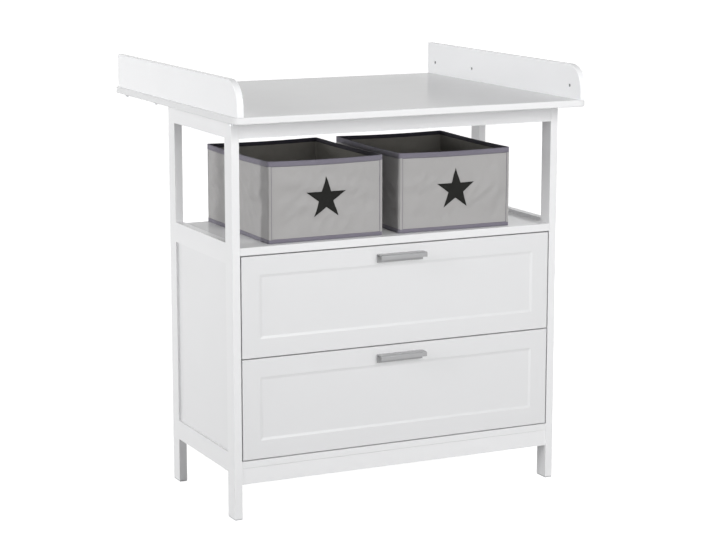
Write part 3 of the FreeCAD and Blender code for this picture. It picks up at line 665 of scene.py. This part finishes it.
def bulge(across, up, seed):
    """How far a wall's cloth stands out: a soft belly, slanting folds and small dents."""
    arch = min(1.0, 3.0 * math.sin(math.pi * across)) * math.sin(math.pi * min(up, 0.97)) ** 0.7
    slanting = 0.3 - abs(noise.noise(Vector((3 * across + 3 * up, 9 * across - 5 * up, seed))))
    small = noise.noise(Vector((7 * across - 4 * up, 6 * up + 5 * across, seed + 5)))
    rolling = noise.noise(Vector((1.3 * across, 6.0 * up + 1.5 * across, seed + 11)))
    return arch * (BELLY + SLANTING_FOLD * slanting + SMALL_DENT * small
                   + ROLLING_FOLD * rolling)


def slump(co, seed):
    """Where a point of an ideal box lies once cloth and card have given a little."""
    along = min(max(co.x / BOX_WIDTH, 0.0), 1.0)
    deep = min(max(co.y / BOX_DEPTH, 0.0), 1.0)
    up = min(max(co.z / BOX_HEIGHT, 0.0), 1.0)
    fade = 14               # a wall's shape dies out over one part in 14 of the box
    near_front, near_back = max(0.0, 1.0 - deep * fade), max(0.0, 1.0 - (1.0 - deep) * fade)
    near_left, near_right = max(0.0, 1.0 - along * fade), max(0.0, 1.0 - (1.0 - along) * fade)
    out = co.copy()
    out.y += near_back * bulge(along, up, seed + 20) - near_front * bulge(along, up, seed)
    out.x += near_right * bulge(deep, up, seed + 40) - near_left * bulge(deep, up, seed + 60)
    fold = math.exp(-((deep - 0.5) / 0.012) ** 2) * math.sin(math.pi * min(up, 0.97))
    out.x += (near_left - near_right) * CARD_FOLD * fold
    front_sag = FRONT_SAG * math.sin(math.pi * along) * max(near_front, near_back)
    side_sag = SIDE_SAG * math.sin(math.pi * deep) * max(near_left, near_right)
    out.z -= (front_sag + side_sag) * up ** 3
    return out


def stand_box(bm, side):
    """Slump a box's piece and set it down on the shelf."""
    left, front, turn = BOX_PLACES[side]
    for vert in bm.verts:
        vert.co = slump(vert.co, BOX_SEEDS[side])
    place = Matrix.Translation((left, front, SHELF_TOP + BOX_LIFT))
    bmesh.ops.transform(bm, matrix=place @ Matrix.Rotation(math.radians(turn), 4, "Z"),
                        verts=bm.verts)


def box_sleeve(inset, low, high, cuts):
    """Open sleeve with rounded upright corners, cut into a fine grid."""
    bm = bmesh.new()
    bmesh.ops.create_cube(bm, size=1.0)
    size = Vector((BOX_WIDTH - 2 * inset, BOX_DEPTH - 2 * inset, high - low))
    bmesh.ops.scale(bm, vec=size, verts=bm.verts)
    bmesh.ops.translate(bm, vec=(BOX_WIDTH / 2, BOX_DEPTH / 2, (high + low) / 2), verts=bm.verts)
    upright = [edge for edge in bm.edges
               if abs(edge.verts[0].co.z - edge.verts[1].co.z) > (high - low) / 2]
    bmesh.ops.bevel(bm, geom=upright, offset=max(BOX_CORNER - inset, 0.001), segments=4,
                    profile=0.5, affect="EDGES", material=-1)
    caps = [face for face in bm.faces if abs(face.normal.z) > 0.9]
    bmesh.ops.delete(bm, geom=caps, context="FACES_ONLY")
    corner_room, shortest = 0.02, 0.004
    for axis, count in enumerate(cuts):
        least = 0.9 * size[axis] - corner_room
        long_edges = [edge for edge in bm.edges
                      if abs((edge.verts[0].co - edge.verts[1].co)[axis]) > least
                      and edge.calc_length() > shortest]
        bmesh.ops.subdivide_edges(bm, edges=long_edges, cuts=count, use_grid_fill=True)
    return bm


def box_layer(side, name, span, inset, thickness, material, cuts=TAPE_CUTS,
              stands_for=()):
    """One layer of cloth or tape round a box, with its thickness inwards."""
    bm = box_sleeve(inset, *span, cuts)
    bmesh.ops.recalc_face_normals(bm, faces=bm.faces)
    bmesh.ops.solidify(bm, geom=bm.faces[:], thickness=thickness)
    unwrap_by_side(bm)
    stand_box(bm, side)
    finish_piece(f"{side}_box_{name}", bm, material, f"{side}_storage_box", stands_for)


def box_floor(side):
    """Cloth-covered card on the floor of a box."""
    bm = bmesh.new()
    bmesh.ops.create_cube(bm, size=1.0)
    gap, thick, lift = 0.0035, 0.0055, 0.0002
    bmesh.ops.scale(bm, vec=(BOX_WIDTH - 2 * gap, BOX_DEPTH - 2 * gap, thick), verts=bm.verts)
    bmesh.ops.translate(bm, vec=(BOX_WIDTH / 2, BOX_DEPTH / 2, thick / 2 + lift),
                        verts=bm.verts)
    bmesh.ops.bevel(bm, geom=bm.edges[:], offset=0.0012, segments=3, profile=0.5,
                    affect="EDGES", material=-1)
    unwrap_by_side(bm)
    stand_box(bm, side)
    finish_piece(f"{side}_box_floor", bm, "box_lining", f"{side}_storage_box",
                 [f"{side}_box_card"])


def box_seams(side):
    """Strips of doubled cloth along the upright edges of the front and back wall."""
    bm = bmesh.new()
    inset, thick = 0.0015 + SEAM / 2, 0.0008
    for deep in (-SEAM_PROUD, BOX_DEPTH + SEAM_PROUD):
        for across in (inset, BOX_WIDTH - inset):
            made = bmesh.ops.create_cube(bm, size=1.0)["verts"]
            bmesh.ops.scale(bm, vec=(SEAM, thick, SEAM_HIGH - SEAM_LOW), verts=made)
            bmesh.ops.translate(bm, vec=(across, deep, (SEAM_LOW + SEAM_HIGH) / 2), verts=made)
    tall = [edge for edge in bm.edges if edge.calc_length() > TALL]
    bmesh.ops.subdivide_edges(bm, edges=tall, cuts=30, use_grid_fill=True)
    rims = [edge for edge in bm.edges if len(edge.link_faces) == 2
            and edge.calc_face_angle(0) > SHARP]
    bmesh.ops.bevel(bm, geom=rims, offset=0.0003, segments=2, profile=0.5, affect="EDGES",
                    material=-1)
    unwrap_by_side(bm)
    stand_box(bm, side)
    finish_piece(f"{side}_box_seams", bm, "box_cloth", f"{side}_storage_box")


def box_piping(side):
    """Thin cords sewn in along the inner edges of the strips."""
    bm = bmesh.new()
    inset = SEAM + 0.0018
    for deep in (-SEAM_PROUD, BOX_DEPTH + SEAM_PROUD):
        for across in (inset, BOX_WIDTH - inset):
            made = rod(bm, Matrix.Translation((across, deep, SEAM_LOW)), radius=0.0007,
                       length=SEAM_HIGH - SEAM_LOW, segments=10)
            tall = {edge for vert in made for edge in vert.link_edges
                    if edge.calc_length() > TALL}
            bmesh.ops.subdivide_edges(bm, edges=list(tall), cuts=30)
    unwrap_by_side(bm)
    stand_box(bm, side)
    finish_piece(f"{side}_box_piping", bm, "piping", f"{side}_storage_box")


def stitch_row(bm, start, end):
    """Stitches from one point to another on an ideal box."""
    start, end = Vector(start), Vector(end)
    run = end - start
    count = int(run.length / STITCH_PITCH)
    turn = run.to_track_quat("X", "Z").to_matrix().to_4x4()
    size = Matrix.Diagonal((STITCH_PITCH * STITCH_SHARE, THREAD_WIDTH, THREAD_WIDTH, 1))
    for index in range(count):
        middle = start + run * ((index + 0.5) / count)
        bmesh.ops.create_icosphere(bm, subdivisions=1, radius=0.5,
                                   matrix=Matrix.Translation(middle) @ turn @ size)


def box_stitches(side):
    """Stitching of both tapes and of the upright seams."""
    bm = bmesh.new()
    out, inset = TAPE_THICK + 0.0001, BOX_CORNER
    left, right, front, back = -out, BOX_WIDTH + out, -out, BOX_DEPTH + out
    rim_row, foot_row = BOX_HEIGHT - TAPE_WIDTH + 0.0018, FOOT_TAPE_WIDTH - 0.0016
    for up in (rim_row, foot_row):
        for deep in (front, back):
            stitch_row(bm, (inset, deep, up), (BOX_WIDTH - inset, deep, up))
        for across in (left, right):
            stitch_row(bm, (across, inset, up), (across, BOX_DEPTH - inset, up))
    for deep in (front, back):
        for across in (SEAM, BOX_WIDTH - SEAM):
            stitch_row(bm, (across, deep, FOOT_TAPE_WIDTH),
                       (across, deep, BOX_HEIGHT - TAPE_WIDTH))
    stand_box(bm, side)
    finish_piece(f"{side}_box_stitches", bm, "thread", f"{side}_storage_box")


def box_star(side):
    """Plain five-pointed star on the front of a box."""
    bm = bmesh.new()
    bmesh.ops.create_circle(bm, cap_ends=True, segments=10, radius=STAR_RADIUS)
    for vert in bm.verts:
        angle = math.atan2(vert.co.y, vert.co.x)
        if round(math.degrees(angle - math.pi / 2) / 36) % 2:
            vert.co *= STAR_INNER_SHARE
    bmesh.ops.poke(bm, faces=bm.faces[:])
    bmesh.ops.subdivide_edges(bm, edges=bm.edges[:], cuts=11, use_grid_fill=True)
    bmesh.ops.transform(bm, matrix=Matrix.Rotation(math.radians(90), 4, "X"), verts=bm.verts)
    bmesh.ops.translate(bm, vec=(BOX_WIDTH / 2, -STAR_PROUD, STAR_HEIGHT), verts=bm.verts)
    bmesh.ops.recalc_face_normals(bm, faces=bm.faces)
    unwrap_by_side(bm)
    stand_box(bm, side)
    bmesh.ops.solidify(bm, geom=bm.faces[:], thickness=PRINT_THICK)
    finish_piece(f"{side}_box_star", bm, "star_print", f"{side}_storage_box")


def storage_box(side):
    """All cloth, tape and thread of one box."""
    wall, rim, top = (0.0004, BOX_HEIGHT - 0.0006), BOX_HEIGHT - TAPE_WIDTH, BOX_HEIGHT + 0.0002
    narrower_inside = 0.003
    box_layer(side, "walls", wall, inset=0.0, thickness=0.0014, material="box_cloth",
              cuts=WALL_CUTS, stands_for=[f"{side}_box_shell"])
    box_layer(side, "inner_cloth", wall, inset=0.0016, thickness=0.0012, material="box_lining",
              cuts=WALL_CUTS)
    # Outside tapes take the lighter copy of the tape colour (painted light), the inside tape the
    # darker copy (painted shade).
    box_layer(side, "rim_tape_outside", (rim, top), inset=-TAPE_THICK, thickness=TAPE_THICK,
              material="outer_tape_painted_light")
    box_layer(side, "rim_tape_inside", (rim + narrower_inside, top), inset=0.0014,
              thickness=0.0021, material="inner_tape_painted_shade")
    box_layer(side, "foot_tape", (0.0, FOOT_TAPE_WIDTH), inset=-TAPE_THICK,
              thickness=TAPE_THICK, material="outer_tape_painted_light")
    box_floor(side)
    box_seams(side)
    box_piping(side)
    box_stitches(side)
    box_star(side)


for side in SIDES:
    storage_box(side)


# ---------------------------------------------------------------- stage, light and camera

FLOOR_HALF_WIDTH = 60.0
GLOW_NEAR, GLOW_FAR = 0.7, 3.0          # metres over which the floor's glow rises to white


def plain_material(name):
    """A material with an empty tree."""
    material = bpy.data.materials.new(name)
    material.use_nodes = True
    material.node_tree.nodes.clear()
    return material


def seen_directly(tree):
    """One for rays from the camera, from gloss and from glass."""
    path = node(tree, "ShaderNodeLightPath")
    first = maths(tree, "MAXIMUM", path.outputs["Is Camera Ray"], path.outputs["Is Glossy Ray"])
    return maths(tree, "MAXIMUM", first, path.outputs["Is Transmission Ray"])


def lay_floor():
    """Pale floor that reads white and keeps the dresser's shadow."""
    bm = bmesh.new()
    bmesh.ops.create_grid(bm, x_segments=2, y_segments=2, size=FLOOR_HALF_WIDTH)
    mesh = bpy.data.meshes.new("studio_floor")
    bm.to_mesh(mesh)
    bm.free()
    floor = bpy.data.objects.new("studio_floor", mesh)
    bpy.context.scene.collection.objects.link(floor)
    material = plain_material("studio_floor_paper")
    tree = material.node_tree
    grey = (0.5, 0.5, 0.5, 1)
    bounce = node(tree, "ShaderNodeBsdfDiffuse", [("Color", grey)])
    shade = node(tree, "ShaderNodeBsdfDiffuse", [("Color", grey)])
    place = node(tree, "ShaderNodeTexCoord").outputs["Object"]
    away = node(tree, "ShaderNodeVectorMath", [(0, place)], operation="LENGTH").outputs["Value"]
    level = node(tree, "ShaderNodeMapRange", [("Value", away), ("From Min", GLOW_NEAR),
                                              ("From Max", GLOW_FAR), ("To Min", 0.82),
                                              ("To Max", 1.0)])
    glow = node(tree, "ShaderNodeEmission", [("Color", PAPER_WHITE),
                                             ("Strength", level.outputs[0])])
    seen = node(tree, "ShaderNodeAddShader", [(0, shade.outputs[0]), (1, glow.outputs[0])])
    mix = node(tree, "ShaderNodeMixShader", [(0, seen_directly(tree)), (1, bounce.outputs[0]),
                                            (2, seen.outputs[0])])
    node(tree, "ShaderNodeOutputMaterial", [(0, mix.outputs[0])])
    mesh.materials.append(material)


def light_world(horizon, overhead):
    """White surroundings whose light on the object is brighter near the horizon than above."""
    world = bpy.data.worlds.new("studio")
    bpy.context.scene.world = world
    world.use_nodes = True
    tree = world.node_tree
    tree.nodes.clear()
    place = node(tree, "ShaderNodeTexCoord").outputs["Generated"]
    up = node(tree, "ShaderNodeSeparateXYZ", [(0, place)]).outputs[2]
    level = node(tree, "ShaderNodeMapRange", [("Value", up), ("From Min", 0.0), ("From Max", 0.8),
                                              ("To Min", horizon), ("To Max", overhead)])
    lit = node(tree, "ShaderNodeBackground", [("Color", PAPER_WHITE),
                                              ("Strength", level.outputs[0])])
    white = node(tree, "ShaderNodeBackground", [("Color", PAPER_WHITE), ("Strength", 1.0)])
    mix = node(tree, "ShaderNodeMixShader", [(0, seen_directly(tree)), (1, lit.outputs[0]),
                                            (2, white.outputs[0])])
    node(tree, "ShaderNodeOutputWorld", [(0, mix.outputs[0])])


def area_light(name, place, target, width, height, power):
    """Soft box that faces a point."""
    data = bpy.data.lights.new(name, "AREA")
    data.shape = "RECTANGLE"
    data.size, data.size_y = width, height
    data.energy = power
    lamp = bpy.data.objects.new(name, data)
    lamp.location = place
    lamp.rotation_euler = (Vector(target) - Vector(place)).to_track_quat("-Z", "Y").to_euler()
    bpy.context.scene.collection.objects.link(lamp)


def set_camera():
    """Camera at the photograph's viewing angle, for a frame of 716 by 540."""
    data = bpy.data.cameras.new("photo_camera")
    data.sensor_width = 36.0
    data.lens = 106.6
    data.clip_end = 200.0
    camera = bpy.data.objects.new("photo_camera", data)
    camera.location = (-2.1742, -4.6046, 1.4487)
    camera.rotation_euler = (math.radians(90 - 10.570), 0.0, math.radians(-25.619))
    bpy.context.scene.collection.objects.link(camera)
    bpy.context.scene.camera = camera


lay_floor()
light_world(horizon=0.34, overhead=0.2)
area_light("left_strip", (-5.3, -1.43, 2.2), (0, 0, 0.8), width=0.75, height=2.7, power=106)
area_light("front_softbox", (0.35, -3.6, 1.8), (0, 0, 0.75), width=1.9, height=1.9, power=88)
area_light("back_left_softbox", (-3.1, 2.5, 1.35), (0, 0, 0.8), width=1.1, height=1.1,
           power=42)
area_light("back_right_softbox", (3.4, 2.0, 1.3), (0, 0, 0.7), width=1.5, height=1.5,
           power=82)
set_camera()
bpy.context.scene.view_settings.view_transform = "Standard"
